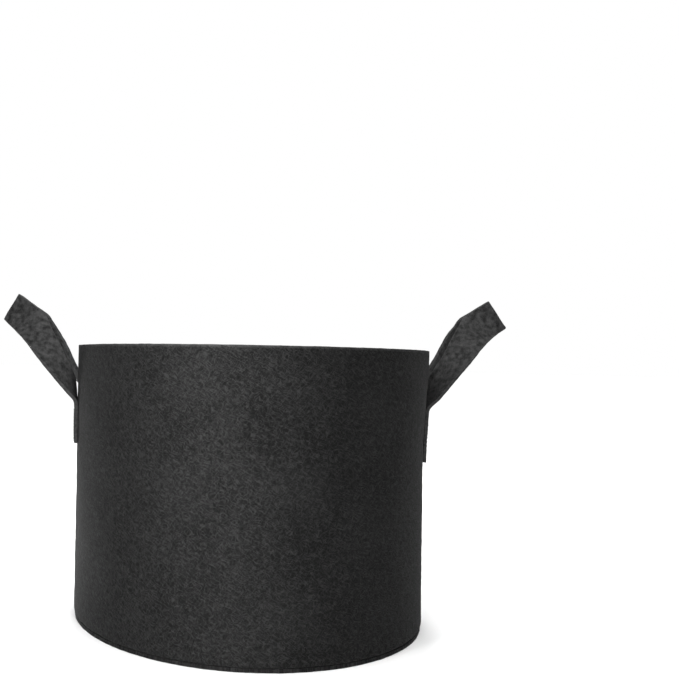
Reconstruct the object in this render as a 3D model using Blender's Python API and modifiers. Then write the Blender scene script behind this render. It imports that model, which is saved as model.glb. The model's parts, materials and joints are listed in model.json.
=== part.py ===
"""Fabric grow bag: a felt tube sewn to a round felt base, with two felt strap handles.

Metres, +Z up. The bag stands on Z = 0 with its axis on Z, its handles on the X axis
and its side seam at the back, on +Y.
"""

import math

import bmesh
import bpy
from mathutils import Matrix, Vector

# Driving dimensions
BAG_RADIUS = 0.1525          # 12 in across, outside
BAG_HEIGHT = 0.2352
FELT = 0.0028                # thickness of the needled felt, also of the straps
GAP = 0.0003                 # clearance between pieces that touch
RING_STEPS = 96

BASE_EDGE = 0.0010           # rounding of the base disc's lower edge
BASE_ALLOWANCE = 0.008       # width of the wall's edge turned in over the base
SIDE_ALLOWANCE = 0.008       # width of the side seam's two edges inside the bag
SEAM_SLIT = 0.0006           # between the two edges of the side seam
SEAM_CLIP = 0.0085           # height at which the side seam's edges are clipped off
BASE_SEAM_IN = 0.0036        # from the wall's inner face to the base seam's stitches
SIDE_SEAM_IN = 0.0048        # from the wall's inner face to the side seam's stitches

THREAD = 0.0009              # thickness of the sewing thread

STRAP_WIDTH = 0.0286         # 1 1/8 in
STRAP_ANGLE = math.radians(9)   # each sewn end's place, either side of the X axis
HINGE_HEIGHT = 0.185         # where the strap leaves its sewn ends
HINGE_X = BAG_RADIUS + 0.0004 + FELT / 2
SEWN_LENGTH = {"left": 0.034, "right": 0.045}
HINGE_CLEARANCE = 0.0030     # from the hinge line down to the sewn end

# Control points of the strap's two edges, as (out, across, up) from the hinge line.
# The first of each edge is the corner of the strap at its sewn end.
LOWER_EDGE = [(0.009, 0.044, 0.020), (0.059, 0.031, 0.076), (0.071, 0.0026, 0.074)]
UPPER_EDGE = [(-0.0035, 0.012, 0.019), (0.030, 0.016, 0.093), (0.056, 0.0026, 0.097)]
LEG_STEPS = 20
FOLD_STEPS = 6
WIDTH_STEPS = 4

STITCH_BOX = (0.021, 0.025)  # width and height of the sewn box with its cross


def clear_scene():
    for obj in list(bpy.data.objects):
        bpy.data.objects.remove(obj, do_unlink=True)


def make_collection(name):
    collection = bpy.data.collections.new(name)
    bpy.context.scene.collection.children.link(collection)
    return collection


def make_material(name, colour, roughness):
    material = bpy.data.materials.new(name)
    material.use_nodes = True
    shader = material.node_tree.nodes["Principled BSDF"]
    shader.inputs["Base Color"].default_value = (*colour, 1.0)
    shader.inputs["Roughness"].default_value = roughness
    shader.inputs["Metallic"].default_value = 0.0
    return material


def add_object(name, bm, collection, material):
    mesh = bpy.data.meshes.new(name)
    bm.to_mesh(mesh)
    bm.free()
    mesh.materials.append(material)
    obj = bpy.data.objects.new(name, mesh)
    collection.objects.link(obj)
    return obj


def as_cutter(obj):
    obj.hide_render = True
    obj.display_type = "WIRE"
    return obj


def box_mesh(low, high):
    """A box between two corners."""
    bm = bmesh.new()
    size = [b - a for a, b in zip(low, high)]
    centre = [(a + b) / 2 for a, b in zip(low, high)]
    matrix = Matrix.Translation(centre) @ Matrix.Diagonal((*size, 1))
    bmesh.ops.create_cube(bm, size=1, matrix=matrix)
    return bm


def add_boolean(obj, operation, tool):
    modifier = obj.modifiers.new(operation.title(), "BOOLEAN")
    modifier.operation = operation
    modifier.object = tool
    modifier.solver = "EXACT"


def smooth(obj, angle=40):
    obj.data.shade_smooth()
    obj.data.set_sharp_from_angle(angle=math.radians(angle))


# ---- the bag ----

def make_wall(parts, cutters, felt):
    """A rectangle of felt rolled to a tube. Its lower edge is turned in over the base, and
    its two upright edges are turned in and sewn face to face at the back."""
    bottom = FELT + GAP
    inner = BAG_RADIUS - FELT
    profile = [
        (BAG_RADIUS, BAG_HEIGHT),
        (BAG_RADIUS, bottom),
        (inner - BASE_ALLOWANCE, bottom),
        (inner - BASE_ALLOWANCE, bottom + FELT),
        (inner, bottom + FELT),
        (inner, BAG_HEIGHT),
    ]
    bm = bmesh.new()
    points = [bm.verts.new((x, 0, z)) for x, z in profile]
    for a, b in zip(points, points[1:] + points[:1]):
        bm.edges.new((a, b))
    wall = add_object("wall_panel", bm, parts, felt)
    screw = wall.modifiers.new("Turn", "SCREW")
    screw.steps = screw.render_steps = RING_STEPS
    screw.use_merge_vertices = True
    screw.merge_threshold = 0.00001

    half_seam = SEAM_SLIT / 2 + FELT
    edges = box_mesh(
        (-half_seam, inner - SIDE_ALLOWANCE, SEAM_CLIP),
        (half_seam, inner + FELT / 2, BAG_HEIGHT - GAP),
    )
    edges = as_cutter(add_object("side_seam_edges", edges, cutters, felt))
    slit = box_mesh(
        (-SEAM_SLIT / 2, inner - 2 * SIDE_ALLOWANCE, -0.01),
        (SEAM_SLIT / 2, BAG_RADIUS + 0.01, BAG_HEIGHT + 0.01),
    )
    slit = as_cutter(add_object("side_seam_slit", slit, cutters, felt))
    add_boolean(wall, "UNION", edges)
    add_boolean(wall, "DIFFERENCE", slit)
    smooth(wall)


def make_base(parts, felt):
    bm = bmesh.new()
    bmesh.ops.create_cone(
        bm, cap_ends=True, segments=RING_STEPS, radius1=BAG_RADIUS, radius2=BAG_RADIUS,
        depth=FELT, matrix=Matrix.Translation((0, 0, FELT / 2)),
    )
    rim = [e for e in bm.edges if all(v.co.z < FELT / 2 for v in e.verts)]
    bmesh.ops.bevel(bm, geom=rim, offset=BASE_EDGE, segments=2, affect="EDGES", profile=0.5)
    smooth(add_object("base_disc", bm, parts, felt))


def thread_curve(name, points, cyclic, parts, thread):
    """A line of stitching as one thin closed tube."""
    curve = bpy.data.curves.new(name, "CURVE")
    curve.dimensions = "3D"
    curve.bevel_depth = THREAD / 2
    curve.bevel_resolution = 1
    curve.use_fill_caps = True
    spline = curve.splines.new("POLY")
    spline.points.add(len(points) - 1)
    for point, co in zip(spline.points, points):
        point.co = (*co, 1)
    spline.use_cyclic_u = cyclic
    curve.materials.append(thread)
    parts.objects.link(bpy.data.objects.new(name, curve))


def make_seam_threads(parts, thread):
    """The base seam runs round on the turned-in edge, the side seam up beside it."""
    inner = BAG_RADIUS - FELT
    ring_radius = inner - BASE_SEAM_IN
    ring_height = 2 * FELT + 2 * GAP + THREAD / 2
    ring = [
        (ring_radius * math.cos(a), ring_radius * math.sin(a), ring_height)
        for a in (2 * math.pi * i / RING_STEPS for i in range(RING_STEPS))
    ]
    thread_curve("base_seam_thread", ring, True, parts, thread)
    x = SEAM_SLIT / 2 + FELT + GAP + THREAD / 2
    y = inner - SIDE_SEAM_IN
    upright = [(x, y, SEAM_CLIP + THREAD), (x, y, BAG_HEIGHT - THREAD)]
    thread_curve("side_seam_thread", upright, False, parts, thread)


# ---- the straps ----

def bezier(points, t):
    a, b, c, d = points
    s = 1 - t
    return s**3 * a + 3 * s * s * t * b + 3 * s * t * t * c + t**3 * d


def strap_corner(across_sign):
    """A corner of the strap where it leaves its sewn end: -1 is the corner further from
    the handle's middle, +1 the nearer one. As (out from the hinge line, across, up)."""
    radius = BAG_RADIUS + GAP + FELT / 2
    along = across_sign * STRAP_WIDTH / 2
    out = radius * math.cos(STRAP_ANGLE) + along * math.sin(STRAP_ANGLE) - HINGE_X
    across = radius * math.sin(STRAP_ANGLE) - along * math.cos(STRAP_ANGLE)
    return Vector((out, across, 0))


def fold_round(end, before):
    """Points of the short round fold that joins a strap's edge to its mirror image."""
    tangent = (end - before).normalized()
    turn = math.acos(-tangent.y)
    radius = end.y / math.sin(turn)
    out = Vector((tangent.x, 0, tangent.z)).normalized()
    centre = Vector((end.x, 0, end.z)) - out * radius * math.cos(turn)
    for i in range(1, FOLD_STEPS):
        a = turn * (1 - 2 * i / FOLD_STEPS)
        yield centre + out * radius * math.cos(a) + Vector((0, radius * math.sin(a), 0))


def edge_line(corner, rest):
    """One edge of the whole loop: up the front leg, round the fold and down the rear leg."""
    points = [corner] + [Vector(p) for p in rest]
    leg = [bezier(points, i / LEG_STEPS) for i in range(LEG_STEPS + 1)]
    mirrored = [Vector((p.x, -p.y, p.z)) for p in reversed(leg)]
    return leg + list(fold_round(points[3], points[2])) + mirrored


def band(lower, upper, place):
    """An open strip of faces between two lines of points."""
    bm = bmesh.new()
    rows = []
    for a, b in zip(lower, upper):
        row = [a.lerp(b, i / WIDTH_STEPS) for i in range(WIDTH_STEPS + 1)]
        rows.append([bm.verts.new(place(p)) for p in row])
    for first, second in zip(rows, rows[1:]):
        for i in range(WIDTH_STEPS):
            bm.faces.new((first[i], first[i + 1], second[i + 1], second[i]))
    bmesh.ops.recalc_face_normals(bm, faces=bm.faces)
    return bm


def thicken(obj):
    modifier = obj.modifiers.new("Felt", "SOLIDIFY")
    modifier.thickness = FELT
    modifier.offset = 0
    modifier.use_even_offset = True


def make_loop(side, sign, parts, felt):
    """The free loop of one handle. Its origin is on the hinge line."""
    lower = edge_line(strap_corner(-1), LOWER_EDGE)
    upper = edge_line(strap_corner(1), UPPER_EDGE)
    bm = band(lower, upper, lambda p: Vector((sign * p.x, -p.y, p.z)))
    loop = add_object(f"{side}_strap_loop", bm, parts, felt)
    thicken(loop)
    loop.location = (sign * HINGE_X, 0, HINGE_HEIGHT)
    smooth(loop, 60)


def make_sewn_end(side, sign, end, across, parts, felt, thread):
    """A sewn-down end of a strap, lying on the wall, and its box of stitching."""
    centre = across * STRAP_ANGLE
    half = STRAP_WIDTH / 2 / BAG_RADIUS
    top = HINGE_HEIGHT - HINGE_CLEARANCE
    bottom = HINGE_HEIGHT - SEWN_LENGTH[side]
    radius = BAG_RADIUS + GAP + FELT / 2
    angles = [centre + half * (2 * i / WIDTH_STEPS - 1) for i in range(WIDTH_STEPS + 1)]
    bm = bmesh.new()
    rows = [
        [bm.verts.new((sign * radius * math.cos(a), radius * math.sin(a), z)) for a in angles]
        for z in (bottom, top)
    ]
    for i in range(WIDTH_STEPS):
        bm.faces.new((rows[0][i], rows[0][i + 1], rows[1][i + 1], rows[1][i]))
    bmesh.ops.recalc_face_normals(bm, faces=bm.faces)
    plate = add_object(f"{side}_strap_{end}_end", bm, parts, felt)
    thicken(plate)

    bm = bmesh.new()
    bmesh.ops.create_grid(bm, x_segments=1, y_segments=1, size=0.5)
    bmesh.ops.poke(bm, faces=bm.faces)
    bmesh.ops.scale(bm, vec=(*STITCH_BOX, 1), verts=bm.verts)
    stitching = add_object(f"{side}_{end}_stitching", bm, parts, thread)
    frame = stitching.modifiers.new("Threads", "WIREFRAME")
    frame.thickness = THREAD
    frame.use_boundary = True
    frame.use_replace = True
    stand_off = BAG_RADIUS + FELT + 2 * GAP + THREAD / 2
    stitching.location = (
        sign * stand_off * math.cos(centre), stand_off * math.sin(centre), (top + bottom) / 2,
    )
    turn = math.pi / 2 + (centre if sign > 0 else math.pi - centre)
    stitching.rotation_euler = (math.pi / 2, 0, turn)


def build():
    clear_scene()
    parts = make_collection("fabric_grow_bag")
    cutters = make_collection("cutters")
    felt = make_material("black_felt", (0.028, 0.028, 0.029), 0.95)
    thread = make_material("black_thread", (0.018, 0.018, 0.019), 0.6)
    make_wall(parts, cutters, felt)
    make_base(parts, felt)
    make_seam_threads(parts, thread)
    for side, sign in (("left", -1), ("right", 1)):
        make_loop(side, sign, parts, felt)
        for end, across in (("front", -1), ("rear", 1)):
            make_sewn_end(side, sign, end, across, parts, felt, thread)


build()
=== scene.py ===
# A fabric grow bag: four cut pieces of black needled felt, sewn together with black thread.
import json
import math

import bmesh
import bpy
from mathutils import Matrix, Vector, noise


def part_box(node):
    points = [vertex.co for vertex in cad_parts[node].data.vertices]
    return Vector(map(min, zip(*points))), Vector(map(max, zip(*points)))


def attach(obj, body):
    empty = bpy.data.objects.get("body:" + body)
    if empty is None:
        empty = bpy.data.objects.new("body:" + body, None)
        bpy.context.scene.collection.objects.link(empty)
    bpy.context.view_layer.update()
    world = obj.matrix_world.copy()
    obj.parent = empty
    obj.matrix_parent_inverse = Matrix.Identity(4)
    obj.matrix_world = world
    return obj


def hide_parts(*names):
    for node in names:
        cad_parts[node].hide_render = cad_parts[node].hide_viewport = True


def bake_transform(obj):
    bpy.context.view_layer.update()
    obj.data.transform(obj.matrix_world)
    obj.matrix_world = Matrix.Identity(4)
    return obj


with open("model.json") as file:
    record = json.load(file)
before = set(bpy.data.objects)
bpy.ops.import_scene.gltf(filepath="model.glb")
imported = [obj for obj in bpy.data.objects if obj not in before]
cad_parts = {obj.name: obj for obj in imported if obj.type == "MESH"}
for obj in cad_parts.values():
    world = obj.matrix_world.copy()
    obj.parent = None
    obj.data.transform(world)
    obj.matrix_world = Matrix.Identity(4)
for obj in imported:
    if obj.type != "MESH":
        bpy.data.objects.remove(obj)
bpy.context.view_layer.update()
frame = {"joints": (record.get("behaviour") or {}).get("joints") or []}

joints = {joint["name"]: joint for joint in frame["joints"]}
mm = 0.001


def hexColour(code):
    # sRGB hex to the linear values that the shader wants
    parts = [int(code[i:i + 2], 16) / 255 for i in (1, 3, 5)]
    linear = [c / 12.92 if c <= 0.04045 else ((c + 0.055) / 1.055) ** 2.4 for c in parts]
    return (*linear, 1.0)


def mix(a, b, share):
    return a + (b - a) * share


def ease(value, low, high):
    # 0 below low, 1 above high, smooth between them
    share = min(1.0, max(0.0, (value - low) / (high - low)))
    return share * share * (3 - 2 * share)


def spacing(start, end, step):
    # evenly spaced distances from start to end, no further apart than step
    count = max(1, math.ceil((end - start) / step - 1e-6))
    return [mix(start, end, i / count) for i in range(count + 1)]


def selectOnly(obj):
    bpy.ops.object.select_all(action="DESELECT")
    obj.select_set(True)
    bpy.context.view_layer.objects.active = obj


def applyModifier(obj, kind, **settings):
    selectOnly(obj)
    modifier = obj.modifiers.new(kind.title(), kind)
    for key, value in settings.items():
        setattr(modifier, key, value)
    bpy.ops.object.modifier_apply(modifier=modifier.name)


def setWearAndHighlight(obj, wearAndHighlightOf):
    # how worn or raw the felt is at each vertex, from 0 to 1, which the felt material reads; on
    # the straps it also holds a painted highlight at each front leg's crease
    layer = obj.data.attributes.new("wearAndHighlight", "FLOAT", "POINT")
    layer.data.foreach_set("value", [wearAndHighlightOf(v) for v in obj.data.vertices])


def addNode(tree, kind, settings=None, **inputs):
    # inputs are socket names, with _ for a space; a value that is a socket is linked
    node = tree.nodes.new(kind)
    for key, value in (settings or {}).items():
        setattr(node, key, value)
    for key, value in inputs.items():
        name = key.replace("_", " ").strip()
        socket = node.inputs[int(name) if name.isdigit() else name]
        if isinstance(value, bpy.types.NodeSocket):
            tree.links.new(value, socket)
        else:
            socket.default_value = value
    return node


def newMaterial(name):
    material = bpy.data.materials.new(name)
    material.use_nodes = True
    material.node_tree.nodes.clear()
    return material, material.node_tree


def finishMaterial(tree, shader):
    addNode(tree, "ShaderNodeOutputMaterial", Surface=shader.outputs["BSDF"])


feltLook = {
    "dark": "#141414",        # between the fibre clumps
    "light": "#454545",       # fibres lying on top
    "raw": "#868686",         # cut edges, the paler places of the straps' loops, and the painted highlight on each front leg's crease
    "fibre": (6.5 * mm, 0.8 * mm),  # a real one is 0.03 mm thick; these are the bundles one sees
    "fibreTurns": {28: 0.52, 70: 0.18, 126: 0.36},   # degrees, and how strong
    "curl": (6.5 * mm, 5.5 * mm),   # size and depth of the fibres' waves
    "fibreEdge": (0.46, 0.74),      # how sharply a bundle stands out of its noise
    "loop": 3.6 * mm,         # single fibres that lie in loops on top
    "loopWidth": 0.07,        # either side of the noise's middle value
    "loopStrength": 0.4,
    "clump": 2.6 * mm,        # between the needle punches
    "clumpStrength": 0.7,
    "patch": 42 * mm,         # uneven web density
    "patchStrength": 0.6,
    "tone": (0.6, 1.6),       # sums of all these that give the dark and the light colour
    "relief": 0.55 * mm,
    "bump": 0.6,
    "roughness": 0.95,
    "specular": 0.25,
    "sheen": 0.12,            # light caught by the loose fibre ends
    "sheenRoughness": 0.45,
    "sheenTint": "#c8c8c8",
}


def feltMaterial():
    # needle-punched polyester felt: matt, with short curled fibre bundles lying every way
    # and a soft glow at grazing angles from the loose fibre ends
    look = feltLook
    material, tree = newMaterial("needledFelt")
    place = addNode(tree, "ShaderNodeTexCoord")
    curl = addNode(
        tree, "ShaderNodeTexNoise", Vector=place.outputs["UV"],
        Scale=1 / look["curl"][0], Detail=1.0, Roughness=0.5)
    centred = addNode(
        tree, "ShaderNodeVectorMath", {"operation": "SUBTRACT"},
        _0=curl.outputs["Color"], _1=(0.5, 0.5, 0.5))
    swirl = addNode(
        tree, "ShaderNodeVectorMath", {"operation": "SCALE"},
        _0=centred.outputs["Vector"], Scale=look["curl"][1])
    curled = addNode(
        tree, "ShaderNodeVectorMath", {"operation": "ADD"},
        _0=place.outputs["UV"], _1=swirl.outputs["Vector"])
    fibres = None
    for turn, strength in look["fibreTurns"].items():
        laid = addNode(
            tree, "ShaderNodeMapping", {"vector_type": "TEXTURE"},
            Vector=curled.outputs["Vector"], Rotation=(0, 0, math.radians(turn)),
            Scale=(*look["fibre"], 1))
        layer = addNode(
            tree, "ShaderNodeTexNoise", {"noise_dimensions": "2D"},
            Vector=laid.outputs["Vector"], Scale=1.0, Detail=1.0, Roughness=0.5)
        thin = addNode(
            tree, "ShaderNodeMapRange", {"interpolation_type": "SMOOTHSTEP"},
            Value=layer.outputs["Fac"], From_Min=look["fibreEdge"][0],
            From_Max=look["fibreEdge"][1], To_Max=strength)
        if fibres is None:
            fibres = thin
        else:
            fibres = addNode(
                tree, "ShaderNodeMath", {"operation": "ADD"},
                _0=fibres.outputs[0], _1=thin.outputs[0])
    loops = addNode(
        tree, "ShaderNodeTexNoise", {"noise_dimensions": "2D"}, Vector=curled.outputs["Vector"],
        Scale=1 / look["loop"], Detail=1.0, Roughness=0.6)
    fromLoop = addNode(
        tree, "ShaderNodeMath", {"operation": "SUBTRACT"}, _0=loops.outputs["Fac"], _1=0.5)
    offLoop = addNode(
        tree, "ShaderNodeMath", {"operation": "ABSOLUTE"}, _0=fromLoop.outputs[0])
    looped = addNode(
        tree, "ShaderNodeMapRange", {"interpolation_type": "SMOOTHSTEP"},
        Value=offLoop.outputs[0], From_Max=look["loopWidth"], To_Min=look["loopStrength"],
        To_Max=0.0)
    fibres = addNode(
        tree, "ShaderNodeMath", {"operation": "ADD"},
        _0=fibres.outputs[0], _1=looped.outputs[0])
    clumps = addNode(
        tree, "ShaderNodeTexNoise", Vector=place.outputs["Object"],
        Scale=1 / look["clump"], Detail=3.0, Roughness=0.6)
    patches = addNode(
        tree, "ShaderNodeTexNoise", Vector=place.outputs["Object"],
        Scale=1 / look["patch"], Detail=2.0, Roughness=0.5)
    height = addNode(
        tree, "ShaderNodeMath", {"operation": "MULTIPLY_ADD"},
        _0=clumps.outputs["Fac"], _1=look["clumpStrength"], _2=fibres.outputs[0])
    shade = addNode(
        tree, "ShaderNodeMath", {"operation": "MULTIPLY_ADD"},
        _0=patches.outputs["Fac"], _1=look["patchStrength"], _2=height.outputs[0])
    tone = addNode(
        tree, "ShaderNodeMapRange", Value=shade.outputs[0], From_Min=look["tone"][0],
        From_Max=look["tone"][1])
    colour = addNode(
        tree, "ShaderNodeMix", {"data_type": "RGBA"}, Factor=tone.outputs[0],
        _6=hexColour(look["dark"]), _7=hexColour(look["light"]))
    # how worn and pale the felt is, which on each strap also holds a painted highlight at the
    # front leg's crease
    wearAndHighlight = addNode(tree, "ShaderNodeAttribute", {"attribute_name": "wearAndHighlight"})
    rubbed = addNode(
        tree, "ShaderNodeMath", {"operation": "MULTIPLY", "use_clamp": True},
        _0=wearAndHighlight.outputs["Fac"], _1=clumps.outputs["Fac"])
    wornAndHighlit = addNode(
        tree, "ShaderNodeMix", {"data_type": "RGBA"}, Factor=rubbed.outputs[0],
        _6=colour.outputs[2], _7=hexColour(look["raw"]))
    bump = addNode(
        tree, "ShaderNodeBump", Height=height.outputs[0], Strength=look["bump"],
        Distance=look["relief"])
    shader = addNode(
        tree, "ShaderNodeBsdfPrincipled", Base_Color=wornAndHighlit.outputs[2],
        Roughness=look["roughness"], Specular_IOR_Level=look["specular"],
        Sheen_Weight=look["sheen"], Sheen_Roughness=look["sheenRoughness"],
        Sheen_Tint=hexColour(look["sheenTint"]), Normal=bump.outputs["Normal"])
    finishMaterial(tree, shader)
    print("felt:", len(tree.nodes), "nodes")
    return material


threadLook = {
    "dark": "#141414",        # between the plies
    "light": "#303030",
    "plies": 1.6,             # scale of the slanting bands
    "wander": 0.4,
    "relief": 0.1 * mm,
    "bump": 0.6,
    "roughness": 0.5,
    "sheen": 0.1,
}


def threadMaterial():
    # three-ply twisted polyester thread: black, with a slight silky sheen on each ply
    look = threadLook
    material, tree = newMaterial("twistedThread")
    place = addNode(tree, "ShaderNodeTexCoord")
    plies = addNode(
        tree, "ShaderNodeTexWave", {"bands_direction": "DIAGONAL"},
        Vector=place.outputs["UV"], Scale=look["plies"], Distortion=look["wander"])
    colour = addNode(
        tree, "ShaderNodeMix", {"data_type": "RGBA"}, Factor=plies.outputs["Fac"],
        _6=hexColour(look["dark"]), _7=hexColour(look["light"]))
    bump = addNode(
        tree, "ShaderNodeBump", Height=plies.outputs["Fac"], Strength=look["bump"],
        Distance=look["relief"])
    shader = addNode(
        tree, "ShaderNodeBsdfPrincipled", Base_Color=colour.outputs[2],
        Roughness=look["roughness"], Sheen_Weight=look["sheen"], Normal=bump.outputs["Normal"])
    finishMaterial(tree, shader)
    print("thread:", len(tree.nodes), "nodes")
    return material


felt = feltMaterial()
thread = threadMaterial()


wallLow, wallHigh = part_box("wall_panel")
baseLow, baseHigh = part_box("base_disc")
bag = {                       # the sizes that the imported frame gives
    "radius": wallHigh.x,
    "height": wallHigh.z,
    "felt": baseHigh.z - baseLow.z,
    "gap": wallLow.z - baseHigh.z,
}
feltSurface = {
    "edgeRound": 0.45 * mm,          # softness of a cut edge
    "edgeAngle": math.radians(50),   # where the faces turn by more, the felt is cut
    "lumps": (11 * mm, 0.55 * mm),   # size and height of the slow unevenness
    "tufts": (4.5 * mm, 0.35 * mm),  # and of the needled surface
}


def cutFelt(name, columns, rows, keep=None):
    # a flat piece of felt with its own grid: columns and rows are distances along and across
    # it in metres, which its UV map keeps, so that the fibres follow it wherever it bends
    bpy.ops.object.select_all(action="DESELECT")
    acrossFaces, upFaces = len(columns) - 1, len(rows) - 1
    bpy.ops.mesh.primitive_grid_add(
        x_subdivisions=acrossFaces, y_subdivisions=upFaces, size=1, location=(0, 0, 0))
    piece = bpy.context.object
    piece.name = piece.data.name = name
    for vertex in piece.data.vertices:
        column = round((vertex.co.x + 0.5) * acrossFaces)
        row = round((vertex.co.y + 0.5) * upFaces)
        vertex.co = (columns[column], rows[row], 0)
    layer = piece.data.uv_layers.active.data
    for loop in piece.data.loops:
        layer[loop.index].uv = piece.data.vertices[loop.vertex_index].co.xy
    if keep is not None:
        bpy.ops.object.mode_set(mode="EDIT")
        bpy.ops.mesh.select_mode(type="FACE")
        cut = bmesh.from_edit_mesh(piece.data)
        for face in cut.faces:
            face.select_set(not keep(face.calc_center_median()))
        bmesh.update_edit_mesh(piece.data)
        bpy.ops.mesh.delete(type="FACE")
        bpy.ops.object.mode_set(mode="OBJECT")
    return piece


def shapeSheet(piece, place):
    # bends the flat cut into its place: place gives a point for (along, across)
    for vertex in piece.data.vertices:
        vertex.co = place(vertex.co.x, vertex.co.y)


def finishSheet(piece):
    # gives the sheet its thickness, softens the cut edges and raises the felt's surface
    selectOnly(piece)
    bpy.ops.object.mode_set(mode="EDIT")
    bpy.ops.mesh.select_all(action="SELECT")
    bpy.ops.mesh.normals_make_consistent(inside=False)
    bpy.ops.object.mode_set(mode="OBJECT")
    applyModifier(
        piece, "SOLIDIFY", thickness=bag["felt"], offset=0, use_even_offset=True)
    applyModifier(
        piece, "BEVEL", width=feltSurface["edgeRound"], segments=2,
        limit_method="ANGLE", angle_limit=feltSurface["edgeAngle"])
    for key in ("lumps", "tufts"):
        size, height = feltSurface[key]
        texture = bpy.data.textures.new(key, "CLOUDS")
        texture.noise_scale = size
        texture.noise_depth = 1
        applyModifier(
            piece, "DISPLACE", texture=texture, texture_coords="LOCAL",
            strength=height, mid_level=0.5)
    bpy.ops.object.shade_smooth()
    piece.data.materials.append(felt)


wallForm = {
    "baseSquash": 0.046,      # the soft tube stands as a slight oval, turned 45 degrees
    "rimSquash": 0.0275,
    "flareDepth": 115 * mm,   # how far below the rim the handles have pulled it out of shape
    "rightFlare": 4.8 * mm,
    "leftFlare": -0.7 * mm,
    "flareDown": 1.5,         # powers by which the pull fades down the wall and round it
    "flareRound": 3,
    "sway": 0.7 * mm,         # soft unevenness of a tube with nothing in it
    "swayRound": 2.2,         # radius of the circle that it follows through the noise
    "swayHeight": 90 * mm,
    "swayFree": 60 * mm,      # the base holds it still below this
    "allowance": 8 * mm,      # turned in at the base and at the side seam
    "sideFold": 2.0 * mm,     # radius of the felt's middle where the side seam turns it in
    "baseFold": 1.8 * mm,
    "seamSlit": 0.3 * mm,     # between the two edges of the side seam
    "clip": 8.5 * mm,         # height at which the side seam's edges are clipped off
    "cornerTaper": (0.35, 2 * mm),   # share off the side edges' depth where the low edge is
                                     # turned in by this much
    "rimWear": (0.75, 1.2 * mm),     # how raw the cut rim is, and how far down
    "step": 2.35 * mm,
    "foldStep": 0.6 * mm,
}


def wallRadius(angle, height):
    # from the axis to the outer face, which is pulled out at the right handle
    form = wallForm
    squash = mix(form["baseSquash"], form["rimSquash"], height / bag["height"])
    radius = bag["radius"] * (1 - squash * math.sin(2 * angle))
    pull = ease(height, bag["height"] - form["flareDepth"], bag["height"])
    pull = pull ** form["flareDown"]
    toRight = max(0.0, math.cos(angle)) ** form["flareRound"]
    toLeft = max(0.0, -math.cos(angle)) ** form["flareRound"]
    radius += pull * (form["rightFlare"] * toRight + form["leftFlare"] * toLeft)
    swing = form["swayRound"]
    spot = Vector(
        (swing * math.cos(angle), swing * math.sin(angle), height / form["swayHeight"]))
    free = ease(height, 0.0, form["swayFree"])
    return radius + form["sway"] * free * noise.noise(spot)


def turnedIn(distance, allowance, radius):
    # felt that turns in at its edge: for a distance from the cut edge, how deep it lies
    # behind the sheet and how far along the sheet it is from the turned-in part
    past = distance - allowance
    if past < 0:
        return radius - past, 0.0
    if past < radius * math.pi / 2:
        turn = past / radius
        return radius * (1 - math.sin(turn)), radius * (1 - math.cos(turn))
    return 0.0, past - radius * math.pi / 2 + radius


def turnedSpacing(allowance, radius):
    # rows for a turned-in edge, close together round its fold
    form = wallForm
    foldEnd = allowance + radius * math.pi / 2
    straight = spacing(0, allowance, form["step"])
    return straight[:-1] + spacing(allowance, foldEnd, form["foldStep"])


def makeWall():
    # one rectangle rolled to a tube, its side edges turned in at the back and its lower edge
    # turned in over the base
    form = wallForm
    thickness = bag["felt"]
    middle = bag["radius"] - thickness / 2
    girth = 2 * math.pi * middle
    taperBy, taperDepth = form["cornerTaper"]
    wearBy, wearDepth = form["rimWear"]
    halfSlit = (form["seamSlit"] + thickness) / 2
    foldHeight = wallLow.z + thickness / 2
    side = turnedSpacing(form["allowance"], form["sideFold"])
    low = turnedSpacing(form["allowance"] - form["baseFold"], form["baseFold"])
    sideEnd = turnedIn(side[-1], form["allowance"], form["sideFold"])[1] + halfSlit
    total = 2 * side[-1] + girth - 2 * sideEnd
    around = spacing(side[-1], total - side[-1], form["step"])
    columns = side[:-1] + around + [total - s for s in reversed(side[:-1])]
    lowEnd = turnedIn(low[-1], form["allowance"] - form["baseFold"], form["baseFold"])[1]
    height = low[-1] + bag["height"] - foldHeight - lowEnd
    rows = low[:-1] + spacing(low[-1], height, form["step"])
    clipRow = low[-1] + form["clip"] - foldHeight - lowEnd

    def kept(centre):
        # the lower corners are clipped off, so that the side seam's edges end above the base
        atSide = min(centre.x, total - centre.x) < form["allowance"]
        return not (atSide and centre.y < clipRow)

    def place(along, up):
        fromEdge = min(along, total - along)
        sideDepth, out = turnedIn(fromEdge, form["allowance"], form["sideFold"])
        lowDepth, rise = turnedIn(
            up, form["allowance"] - form["baseFold"], form["baseFold"])
        out = (out + halfSlit) * (1 if along < total / 2 else -1)
        angle = math.pi / 2 - out / middle
        z = foldHeight + rise
        radius = wallRadius(angle, z) - thickness / 2
        taper = 1 - taperBy * ease(lowDepth, 0, taperDepth)
        point = Vector((math.cos(angle), math.sin(angle), 0)) * (radius - lowDepth)
        return point + Vector((0, -sideDepth * taper, z))

    wall = cutFelt("felt_wall", columns, rows, kept)
    shapeSheet(wall, place)
    finishSheet(wall)
    setWearAndHighlight(wall, lambda v: wearBy * ease(v.co.z, bag["height"] - wearDepth, bag["height"]))
    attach(wall, "bag")
    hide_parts("wall_panel")
    print("wall:", len(columns), "x", len(rows), "flat", round(total, 4), round(height, 4))


baseForm = {
    "inset": 0.9 * mm,        # how far its edge stands back from the wall's face
    "step": 2.6 * mm,
}


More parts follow.
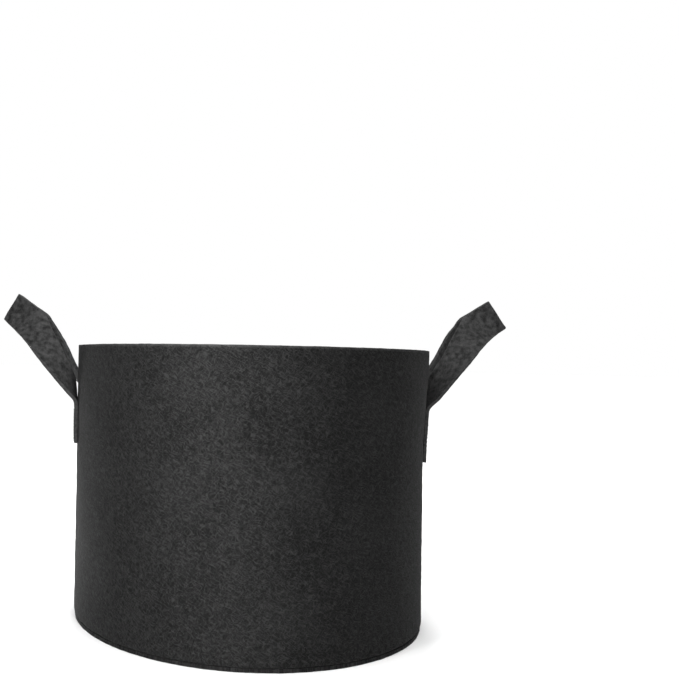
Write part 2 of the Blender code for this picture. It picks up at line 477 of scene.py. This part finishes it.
def makeBase():
    thickness = bag["felt"]
    steps = spacing(-1.0, 1.0, baseForm["step"] / bag["radius"])
    base = cutFelt("felt_base", steps, steps)
    layer = base.data.uv_layers.active.data

    def place(u, v):
        # a square grid drawn out to a disc under the wall
        x, y = u * math.sqrt(1 - v * v / 2), v * math.sqrt(1 - u * u / 2)
        angle = math.atan2(y, x)
        reach = (wallRadius(angle, 0) - baseForm["inset"]) * math.hypot(x, y)
        return Vector((reach * math.cos(angle), reach * math.sin(angle), thickness / 2))

    shapeSheet(base, place)
    for loop in base.data.loops:
        layer[loop.index].uv = base.data.vertices[loop.vertex_index].co.xy
    finishSheet(base)
    setWearAndHighlight(base, lambda v: 0.0)       # nothing rubs it
    for vertex in base.data.vertices:
        vertex.co.z = max(vertex.co.z, 0.0)
    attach(base, "bag")
    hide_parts("base_disc")
    print("base:", len(steps), "x", len(steps))


strapForm = {
    "width": 28.6 * mm,
    "angle": math.radians(9),          # each sewn end's place, either side of the X axis
    "sewn": {"left": 34 * mm, "right": 45 * mm},
    # the two edges of a leg, as (out, across, up) in mm from the hinge line up to the fold
    "lower": {
        "left": [(3.0, 38.8, 12.6), (16.1, 38.2, 26.9), (30.0, 33.5, 42.1), (45.7, 21.0, 57.2),
                 (57.4, 9.5, 65.5), (65.0, 2.8, 71.5)],
        "right": [(9.6, 38.8, 10.5), (21.3, 38.2, 24.7), (36.9, 33.5, 41.8),
                  (53.9, 20.5, 58.5), (65.9, 9.0, 66.5), (74.5, 2.8, 71.8)],
    },
    "upper": {
        "left": [(-0.3, 11.5, 17.7), (2.2, 13.0, 27.0), (7.7, 14.5, 38.3), (14.2, 14.5, 51.9),
                 (19.1, 13.0, 60.7), (24.0, 9.5, 69.7), (28.8, 5.5, 77.4), (37.7, 3.2, 84.3),
                 (51.0, 2.6, 94.0)],
        "right": [(0.8, 10.8, 12.0), (5.2, 11.5, 23.7), (9.6, 13.0, 33.5), (16.3, 14.5, 44.2),
                  (22.9, 14.5, 57.7), (27.4, 13.0, 66.5), (32.1, 9.5, 73.9),
                  (36.4, 5.5, 80.8), (45.1, 3.2, 87.0), (57.5, 2.6, 95.2)],
    },
    "runIn": 12 * mm,                  # each leg's curve comes straight up from this far below
    "hug": 22 * mm,                    # above a sewn end, where the wall's curve fades out of it
    "swings": (-4 * mm, 18 * mm),      # heights about the hinge line between which it bends
    "rubbed": 0.6,                     # how much paler the loop is, from a little below the hinge line up
    "palerFrom": (-10 * mm, 45 * mm),   # heights about the hinge line over which it sets in
    "rubbedPatch": (4 * mm, 1.2),      # size and strength of its unevenness
    "rubbedEdge": (0.7, 0.9 * mm, 0.1 * mm),   # for the cut edges: how much, and the distances
                                               # from the edge over which it grows
    "creaseHighlight": (0.9, 8 * mm),            # painted highlight on the front leg's crease: how pale, and how far round
    "creasePoint": -3,                 # which of the upper edge's points that crease is at
    "step": 1.0 * mm,
    "acrossStep": 1.0 * mm,
    "curveSteps": 24,
    "legSteps": 240,
    "foldSteps": 16,
    "bendLength": 2.0 * mm,            # the felt can't bend sharper than this
}


def outwards(side):
    return 1 if side == "right" else -1


def hingeOf(side):
    return Vector(joints[side + "_handle_swing"]["pos_m"])


def curveThrough(points, steps):
    # a smooth curve from the second point on through all the others
    points = points + [2 * points[-1] - points[-2]]
    curve = []
    for i in range(1, len(points) - 2):
        a, b, c, d = points[i - 1:i + 3]
        for k in range(1, steps + 1):
            t = k / steps
            bend = (2 * a - 5 * b + 4 * c - d) * t + (3 * b - a - 3 * c + d) * t * t
            curve.append(b + ((c - a) + bend) * t / 2)
    return curve


def foldRound(end, before, count):
    # the short round fold from one edge of a leg to its mirror image
    tangent = (end - before).normalized()
    turn = math.acos(-tangent.y)
    radius = end.y / math.sin(turn)
    out = Vector((tangent.x, 0, tangent.z)).normalized()
    centre = Vector((end.x, 0, end.z)) - out * radius * math.cos(turn)
    points = []
    for i in range(1, count + 1):
        a = turn * (1 - i / count)
        points.append(centre + out * radius * math.cos(a) + Vector((0, radius * math.sin(a), 0)))
    return points


def sewnPoint(side, end, across, height, lift):
    # a point on a sewn end: across runs away from the handle's middle
    turn = strapForm["angle"] + across / bag["radius"]
    angle = -turn if end == "front" else turn
    if outwards(side) < 0:
        angle = math.pi - angle
    radius = wallRadius(angle, height) + bag["gap"] + lift
    return Vector((radius * math.cos(angle), radius * math.sin(angle), height))


def legRails(side, end):
    # the two edges of one leg, from the lower end of the sewn part to the top of the fold,
    # each as a list of points in the bag's own space
    form = strapForm
    sign = outwards(side)
    flip = -1 if end == "front" else 1
    hinge = hingeOf(side)
    half = form["width"] / 2
    middleLift = bag["felt"] / 2
    rails = []
    for across, points in ((half, form["lower"]), (-half, form["upper"])):
        rail = [
            sewnPoint(side, end, across, z, middleLift)
            for z in spacing(hinge.z - form["sewn"][side], hinge.z, form["step"] / 2)
        ]
        corner = rail[-1]
        start = Vector(((corner.x - hinge.x) * sign, corner.y * flip, 0))
        below = start - Vector((0, 0, form["runIn"]))
        route = [below, start] + [Vector(p) * mm for p in points[side]]
        leg = evenly(curveThrough(route, form["curveSteps"]), form["legSteps"])
        leg += foldRound(leg[-1], leg[-2], form["foldSteps"])
        rail += [hinge + Vector((sign * p.x, flip * p.y, p.z)) for p in leg]
        rails.append(rail)
    return rails


def lengthsAlong(*rails):
    # the mean distance along the rails at each of their points
    lengths = [0.0]
    for i in range(1, len(rails[0])):
        step = sum((rail[i] - rail[i - 1]).length for rail in rails) / len(rails)
        lengths.append(lengths[-1] + step)
    return lengths


def evenly(rail, count, lengths=None):
    # points at even distances along the rail
    lengths = lengths or lengthsAlong(rail)
    points = []
    i = 0
    for k in range(count + 1):
        distance = lengths[-1] * k / count
        while i < len(lengths) - 2 and lengths[i + 1] < distance:
            i += 1
        span = lengths[i + 1] - lengths[i]
        points.append(rail[i].lerp(rail[i + 1], min(1.0, (distance - lengths[i]) / span)))
    return points


def strapRails(side):
    # both edges of the whole strap, front end to rear end, at even distances
    form = strapForm
    front = legRails(side, "front")
    rear = legRails(side, "rear")
    rails = [f + list(reversed(r))[1:] for f, r in zip(front, rear)]
    lengths = lengthsAlong(*rails)
    count = round(lengths[-1] / form["step"])
    rails = [evenly(rail, count, lengths) for rail in rails]
    for _ in range(round(form["bendLength"] / form["step"])):
        rails = [
            [r[0]] + [(r[i - 1] + 2 * r[i] + r[i + 1]) / 4 for i in range(1, len(r) - 1)] + [r[-1]]
            for r in rails
        ]
    return rails, lengths[-1]


def toLine(point, line):
    # distance of a point from a line's stretch, in a flat plan
    a, b = line
    share = max(0.0, min(1.0, (point - a).dot(b - a) / (b - a).length_squared))
    return (point - a.lerp(b, share)).length


def pressStitches(piece, side):
    # pulls the strap's outer face in along the stitched box
    lines = boxLines(side)
    flat, width = stitchForm["pressWidth"]
    sign = outwards(side)
    reach = Vector(stitchForm["box"]).length / 2 + width
    for vertex in piece.data.vertices:
        co = vertex.co
        angle = math.atan2(abs(co.y), co.x * sign)
        plan = Vector(((angle - strapForm["angle"]) * bag["radius"], co.z))
        if (plan - (lines[0][0] + lines[2][0]) / 2).length > reach:
            continue
        surface = wallRadius(math.atan2(co.y, co.x), co.z) + bag["gap"] + bag["felt"]
        radius = co.xy.length
        if abs(radius - surface) > bag["felt"] * 0.45:
            continue                   # not on the outer face
        near = 1 - ease(min(toLine(plan, line) for line in lines), flat, width)
        radius = mix(radius, surface - stitchForm["boxPress"], near)
        vertex.co.x, vertex.co.y = co.x * radius / co.xy.length, co.y * radius / co.xy.length


def makeStrap(side):
    form = strapForm
    rails, length = strapRails(side)
    count = len(rails[0]) - 1
    columns = [length * i / count for i in range(count + 1)]
    half = form["width"] / 2
    rows = spacing(-half, half, form["acrossStep"])
    sewn = form["sewn"][side]
    sagitta = half * half / 2 / bag["radius"]
    sign = outwards(side)
    hinge = hingeOf(side)

    def place(along, across):
        i = round(along / length * count)
        share = across / form["width"] + 0.5
        point = rails[0][i].lerp(rails[1][i], share)
        fromEnd = min(along, length - along) - sewn
        hug = 1 - ease(fromEnd, 0, form["hug"])
        bulge = sagitta * hug * (1 - (across / half) ** 2)
        return point + Vector((sign * bulge, 0, 0))

    strap = cutFelt(side + "_felt_strap", columns, rows)
    shapeSheet(strap, place)
    finishSheet(strap)
    pressStitches(strap, side)

    uvs = strap.data.uv_layers.active.data
    acrossAt = {loop.vertex_index: uvs[loop.index].uv.y for loop in strap.data.loops}
    out, across, up = form["upper"][side][form["creasePoint"]]
    crease = hinge + Vector((sign * out, -across, up)) * mm
    low, high = form["palerFrom"]
    patch, patchDepth = form["rubbedPatch"]
    edgeWear, edgeStart, edgeEnd = form["rubbedEdge"]
    creaseHighlightShare, creaseHighlightSize = form["creaseHighlight"]

    # how pale each vertex is: the loop paler from the hinge line up, the cut edges worn, and a
    # painted highlight on the front leg's crease
    def rubbed(vertex):
        aboveHinge = ease(vertex.co.z, hinge.z + low, hinge.z + high)
        patchy = 1 + patchDepth * noise.noise(vertex.co / patch)
        edge = ease(abs(acrossAt[vertex.index]), half - edgeStart, half - edgeEnd)
        # a painted highlight where the front leg's upper edge creases
        creaseHighlight = 1 - ease((vertex.co - crease).length, 0, creaseHighlightSize)
        wearAndHighlight = (form["rubbed"] * aboveHinge + creaseHighlightShare * creaseHighlight) * patchy
        return min(1.0, wearAndHighlight + edgeWear * edge)

    setWearAndHighlight(strap, rubbed)
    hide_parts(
        side + "_strap_loop", side + "_strap_front_end", side + "_strap_rear_end")
    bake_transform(strap)
    print(side, "strap:", len(columns), "x", len(rows), "flat length", round(length, 4))


stitchForm = {
    "thread": 0.8 * mm,
    "length": 3.1 * mm,
    "gap": 0.7 * mm,
    "arch": 0.28 * mm,        # how far a stitch stands off the felt at its middle
    "sides": 6,
    "cuts": 4,                # along a stitch, so that it can arch
    "thinning": 0.35,         # towards its ends
    "dip": 0.85,              # how far its ends drop, in thread thicknesses
    "box": (21 * mm, 25 * mm),
    "boxDrop": 1.5 * mm,      # below the middle of the sewn end
    "boxPress": 0.55 * mm,    # how deep the tight stitches pull into the strap
    "pressWidth": (0.3 * mm, 2.2 * mm),   # half widths of the groove's floor and of all of it
    "outerSink": 0.5,         # shares of boxPress by which the stitches lie below the strap's
    "innerSink": 0.3,         # outer face and in the wall's inner face
    "seamEnd": 1 * mm,        # side seam left unsewn at its ends
    "sideSeamIn": 4.8 * mm,   # from the wall's inner face to the seams' stitches
    "baseSeamIn": 3.6 * mm,
}


def modelStitch():
    # one stitch along Z, arched towards +X, its ends dipping into the felt
    form = stitchForm
    bpy.ops.object.select_all(action="DESELECT")
    bpy.ops.mesh.primitive_cylinder_add(
        vertices=form["sides"], radius=form["thread"] / 2, depth=form["length"],
        end_fill_type="NGON", location=(0, 0, 0))
    stitch = bpy.context.object
    bpy.ops.object.mode_set(mode="EDIT")
    bpy.ops.mesh.select_mode(type="EDGE")
    bpy.ops.mesh.select_all(action="DESELECT")
    shape = bmesh.from_edit_mesh(stitch.data)
    for edge in shape.edges:
        a, b = edge.verts
        edge.select_set((a.co - b.co).length > form["length"] * 0.9)   # the long ones
    bpy.ops.mesh.subdivide(number_cuts=form["cuts"])
    bpy.ops.object.mode_set(mode="OBJECT")
    half = form["length"] / 2
    for vertex in stitch.data.vertices:
        toEnd = (vertex.co.z / half) ** 2
        vertex.co.x *= 1 - form["thinning"] * toEnd
        vertex.co.y *= 1 - form["thinning"] * toEnd
        vertex.co.x += form["arch"] - toEnd * form["thread"] * form["dip"]
    bpy.ops.object.shade_smooth()
    stitch.data.materials.append(thread)
    return stitch


def stitchRun(name, places, replaced):
    # copies the stitch to each place, which is its (start, end, outward direction)
    copies = []
    pattern = modelStitch()
    for start, end, outward in places:
        up = (end - start).normalized()
        out = (outward - up * outward.dot(up)).normalized()
        across = up.cross(out)
        turn = Matrix((out, across, up)).transposed().to_4x4()
        copy = pattern.copy()
        copy.data = pattern.data.copy()
        bpy.context.collection.objects.link(copy)
        copy.matrix_world = Matrix.Translation((start + end) / 2) @ turn
        copies.append(copy)
    bpy.data.objects.remove(pattern)
    bpy.ops.object.select_all(action="DESELECT")
    for copy in copies:
        copy.select_set(True)
    bpy.context.view_layer.objects.active = copies[0]
    bpy.ops.object.join()
    run = bpy.context.object
    run.name = run.data.name = name
    bpy.ops.object.transform_apply(location=True, rotation=True, scale=True)
    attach(run, "bag")
    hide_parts(replaced)
    print(name + ":", len(copies), "stitches")


def alongLine(a, b):
    # the start and end of each stitch between two points of a flat plan
    pitch = stitchForm["length"] + stitchForm["gap"]
    run = (b - a).length
    count = max(1, round(run / pitch))
    for i in range(count):
        middle = a.lerp(b, (i + 0.5) / count)
        halfStitch = (b - a).normalized() * min(stitchForm["length"], run / count) / 2
        yield middle - halfStitch, middle + halfStitch


def boxLines(side):
    # the box and its cross on a sewn end, as (across, height) pairs
    centre = hingeOf(side).z - stitchForm["boxDrop"] - strapForm["sewn"][side] / 2
    x, z = stitchForm["box"][0] / 2, stitchForm["box"][1] / 2
    corners = [Vector((x, centre + z)), Vector((-x, centre + z)),
               Vector((-x, centre - z)), Vector((x, centre - z))]
    lines = list(zip(corners, corners[1:] + corners[:1]))
    return lines + [(corners[0], corners[2]), (corners[1], corners[3])]


def sewBox(side, end):
    # seen from outside on the strap and from inside on the wall, as a lockstitch is
    form = stitchForm
    outerLift = bag["felt"] - form["boxPress"] * form["outerSink"]
    innerLift = -bag["gap"] - bag["felt"] + form["boxPress"] * form["innerSink"]
    places = []
    for lift, facing in ((outerLift, 1), (innerLift, -1)):
        for a, b in boxLines(side):
            for first, second in alongLine(a, b):
                start = sewnPoint(side, end, first.x, first.y, lift)
                finish = sewnPoint(side, end, second.x, second.y, lift)
                places.append((start, finish, facing * Vector((start.x, start.y, 0))))
    stitchRun(f"{side}_{end}_box_stitches", places, f"{side}_{end}_stitching")


def sewSideSeam():
    # up both faces of the side seam's turned-in edges
    face = wallForm["seamSlit"] / 2 + bag["felt"]
    places = []
    for sign in (1, -1):
        low = Vector((sign * face, wallForm["clip"] + stitchForm["seamEnd"]))
        high = Vector((sign * face, bag["height"] - stitchForm["seamEnd"]))
        for first, second in alongLine(low, high):
            ends = []
            for x, z in (first, second):
                y = wallRadius(math.pi / 2, z) - bag["felt"] - stitchForm["sideSeamIn"]
                ends.append(Vector((x, y, z)))
            places.append((*ends, Vector((sign, 0, 0))))
    stitchRun("side_seam_stitches", places, "side_seam_thread")


def sewBaseSeam():
    # round the top of the wall's turned-in lower edge
    height = wallLow.z + bag["felt"]
    girth = 2 * math.pi * (bag["radius"] - bag["felt"] - stitchForm["baseSeamIn"])
    places = []
    for first, second in alongLine(Vector((0, 0)), Vector((girth, 0))):
        ends = []
        for along, _ in (first, second):
            angle = math.pi / 2 + 2 * math.pi * along / girth
            radius = wallRadius(angle, height) - bag["felt"] - stitchForm["baseSeamIn"]
            ends.append(Vector((radius * math.cos(angle), radius * math.sin(angle), height)))
        places.append((*ends, Vector((0, 0, 1))))
    stitchRun("base_seam_stitches", places, "base_seam_thread")


cameraPlace = {
    "location": (0.0, -0.7406, 0.2212),
    "roll": 0.0188,
    "lens": 43.55,
    "sensor": 36,
    "shift": (0.1335, 0.0381),
}


def makeCamera():
    data = bpy.data.cameras.new("camera")
    data.lens = cameraPlace["lens"]
    data.sensor_width = cameraPlace["sensor"]
    data.shift_x, data.shift_y = cameraPlace["shift"]
    camera = bpy.data.objects.new("camera", data)
    turn = Matrix.Rotation(math.pi / 2, 4, "X") @ Matrix.Rotation(cameraPlace["roll"], 4, "Z")
    camera.matrix_world = Matrix.Translation(cameraPlace["location"]) @ turn
    bpy.context.collection.objects.link(camera)
    bpy.context.scene.camera = camera
    print("camera placed")


studioLights = {
    # azimuth and height of each soft box as seen from the bag, in degrees, its distance and
    # its size in metres, and its power in watts
    "frontStrip": (-3, 15, 1.5, (0.25, 0.8), 5.3),
    "nearStrip": (-12, 5, 0.26, (0.04, 0.7), 0.43),    # a tall strip close in front
    "edgeLamp": (-106, -18, 0.3, (0.05, 0.1), 0.24),  # draws the lower left outline
    "topBox": (0, 89, 1.3, (0.5, 0.5), 3.5),          # into the bag
    "backBox": (180, 35, 1.6, (0.6, 0.6), 7.0),
}
paper = {
    "size": 60,                       # in metres
    "shades": ("#f4f4f4", "#f8f8f8"),
    "grain": 60.0,
    "light": 3.4,                     # from overhead, and on the paper only
    "lightAngle": math.radians(70),
}
roomGlow = 0.1


def addSoftBox(name, azimuth, height, distance, size, power):
    data = bpy.data.lights.new(name, "AREA")
    data.shape = "RECTANGLE"
    data.size, data.size_y = size
    data.energy = power
    lamp = bpy.data.objects.new(name, data)
    a, h = math.radians(azimuth), math.radians(height)
    away = Vector((math.sin(a) * math.cos(h), -math.cos(a) * math.cos(h), math.sin(h)))
    target = Vector((0, 0, bag["height"] / 2))
    lamp.location = target + away * distance
    lamp.rotation_euler = away.to_track_quat("Z", "Y").to_euler()
    lamp.visible_camera = False
    bpy.context.collection.objects.link(lamp)


def lightPaper(floor):
    # keeps the paper evenly white, with a soft shadow under the bag
    data = bpy.data.lights.new("paperLight", "SUN")
    data.energy = paper["light"]
    data.angle = paper["lightAngle"]
    lamp = bpy.data.objects.new("paperLight", data)
    bpy.context.collection.objects.link(lamp)
    lit = bpy.data.collections.new("paper")
    lit.objects.link(floor)
    lamp.light_linking.receiver_collection = lit


def makeFloor():
    bpy.ops.object.select_all(action="DESELECT")
    bpy.ops.mesh.primitive_plane_add(size=paper["size"], location=(0, 0, 0))
    floor = bpy.context.object
    floor.name = "studio_floor"
    material, tree = newMaterial("paperFloor")   # matt white paper
    grain = addNode(tree, "ShaderNodeTexNoise", Scale=paper["grain"], Detail=2.0)
    dark, light = paper["shades"]
    colour = addNode(
        tree, "ShaderNodeMix", {"data_type": "RGBA"}, Factor=grain.outputs["Fac"],
        _6=hexColour(dark), _7=hexColour(light))
    shader = addNode(
        tree, "ShaderNodeBsdfPrincipled", Base_Color=colour.outputs[2], Roughness=1.0,
        Specular_IOR_Level=0.0)
    finishMaterial(tree, shader)
    floor.data.materials.append(material)
    floor.visible_diffuse = False      # the felt isn't washed out by light off the paper
    lightPaper(floor)


def makeRoom():
    # white to look at, and a faint glow on the bag from all round
    world = bpy.data.worlds.new("studio")
    bpy.context.scene.world = world
    world.use_nodes = True
    tree = world.node_tree
    tree.nodes.clear()
    path = addNode(tree, "ShaderNodeLightPath")
    strength = addNode(
        tree, "ShaderNodeMapRange", Value=path.outputs["Is Camera Ray"],
        To_Min=roomGlow, To_Max=1.0)
    sky = addNode(
        tree, "ShaderNodeBackground", Color=(1, 1, 1, 1), Strength=strength.outputs[0])
    addNode(tree, "ShaderNodeOutputWorld", Surface=sky.outputs["Background"])
    bpy.context.scene.view_settings.view_transform = "Standard"


def makeStudio():
    for name, settings in studioLights.items():
        addSoftBox(name, *settings)
    makeFloor()
    makeRoom()
    print("studio:", len(studioLights), "soft boxes")


makeCamera()
makeStudio()
makeBase()
makeWall()
sewSideSeam()
sewBaseSeam()
for side in ("left", "right"):
    makeStrap(side)
    for end in ("front", "rear"):
        sewBox(side, end)
